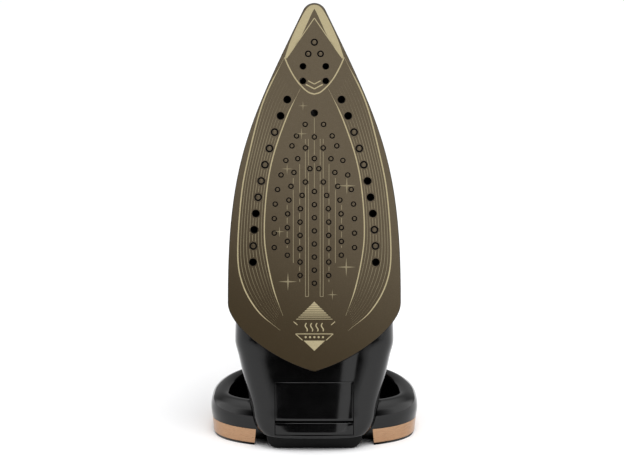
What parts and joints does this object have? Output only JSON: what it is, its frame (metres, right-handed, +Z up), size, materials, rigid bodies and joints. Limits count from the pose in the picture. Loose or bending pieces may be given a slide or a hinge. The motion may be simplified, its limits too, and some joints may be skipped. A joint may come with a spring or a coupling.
{
  "type": "steam iron",
  "caption": "Steam iron standing on its heel: coated soleplate with steam outlets, smoked tank, loop handle, horseshoe heel stand",
  "frame": {"origin": "middle of the bounding box at the level of the surface that the iron's heel stands on", "axes": "+Z up with the iron on its heel, -Y the way the soleplate faces, +X across the iron to the right as seen facing the soleplate"},
  "size_m": [0.145, 0.1757, 0.3069],
  "materials": {
    "sole_coating": "bronze-brown glazed coating, satin",
    "cast_aluminium": "cast, matt",
    "steel": "satin",
    "ceramic": "matt white",
    "brass": "satin",
    "gloss_black": "piano black, polished",
    "satin_black": "fine satin texture",
    "soft_grip": "soft-touch, dotted",
    "smoked_tank": "smoked, see-through",
    "copper_trim": "copper lacquer, brushed",
    "white_plastic": "natural nylon",
    "collector_tray": "heat-proof, matt",
    "silicone": "soft",
    "board": "printed board",
    "lens": "amber",
    "gland_rubber": "matt"
  },
  "bodies": {
    "root": {"soleplate": "sole_coating", "heater_casting": "cast_aluminium", "heating_element": "steel", "chamber_cover": "cast_aluminium", "thermostat": "steel", "thermal_fuse": "ceramic", "terminal_block": "ceramic", "scale_duct": "brass", "skirt": "satin_black", "skirt_screws": "steel", "water_tank": "smoked_tank", "tank_gasket": "silicone", "tank_end": "smoked_tank", "fill_collar": "satin_black", "fill_door_pin": "steel", "neck_shell": "gloss_black", "head_housing": "gloss_black", "button_bezel": "copper_trim", "boost_spring": "steel", "spray_spring": "steel", "boost_pump": "white_plastic", "spray_pump": "white_plastic", "spray_tube": "white_plastic", "spray_nozzle": "copper_trim", "handle_upper": "gloss_black", "handle_lower": "soft_grip", "handle_trim": "copper_trim", "pilot_lens": "lens", "control_board": "board", "slider_track": "satin_black", "valve_seat": "brass", "rear_shell": "gloss_black", "rear_tower": "gloss_black", "dial_seat": "satin_black", "gland_socket": "satin_black", "heel_stand": "gloss_black", "heel_band_left": "copper_trim", "heel_band_right": "copper_trim", "heel_foot": "satin_black", "heel_screws": "steel"},
    "filler_lid": {"fill_door": "gloss_black"},
    "boost_key": {"boost_button": "satin_black", "boost_piston": "white_plastic"},
    "spray_key": {"spray_button": "satin_black", "spray_piston": "white_plastic"},
    "steam_control": {"steam_slider": "copper_trim"},
    "drip_valve": {"valve_rod": "white_plastic"},
    "dial": {"temperature_dial": "satin_black", "dial_spindle": "steel"},
    "scale_collector": {"collector_door": "gloss_black", "collector_cup": "collector_tray", "collector_seal": "silicone"},
    "gland": {"cord_gland": "gland_rubber"}
  },
  "joints": [
    {"name": "filler_lid_hinge", "type": "hinge", "parent": "root", "child": "filler_lid", "pos_m": [0, 0.01388, 0.25892], "axis": [-1, 0, 0], "range_deg": [0, 100]},
    {"name": "boost_press", "type": "slide", "parent": "root", "child": "boost_key", "axis": [0, -0.9781, -0.2079], "range_m": [0, 0.0035], "stiffness_N_per_m": 300, "springref_m": -0.003, "deforming": ["boost_spring"]},
    {"name": "spray_press", "type": "slide", "parent": "root", "child": "spray_key", "axis": [0, -0.9781, -0.2079], "range_m": [0, 0.0035], "stiffness_N_per_m": 300, "springref_m": -0.003, "deforming": ["spray_spring"]},
    {"name": "steam_slide", "type": "slide", "parent": "root", "child": "steam_control", "axis": [1, 0, 0], "range_m": [0, 0.016]},
    {"name": "valve_lift", "type": "slide", "parent": "root", "child": "drip_valve", "axis": [0, 0.9848, -0.1736], "range_m": [0, 0.0024]},
    {"name": "dial_turn", "type": "hinge", "parent": "root", "child": "dial", "pos_m": [0, -0.00608, 0.10645], "axis": [0, 0.9848, -0.1736], "range_deg": [0, 270]},
    {"name": "collector_slide", "type": "slide", "parent": "root", "child": "scale_collector", "axis": [0, -0.9848, 0.1736], "range_m": [0, 0.042]},
    {"name": "gland_swivel", "type": "hinge", "parent": "root", "child": "gland", "pos_m": [0, 0.04498, 0.03551], "axis": [1, 0, 0], "range_deg": [-25, 25]}
  ],
  "couplings": [
    {"joint": "valve_lift", "follows": "steam_slide", "ratio": 0.15}
  ]
}
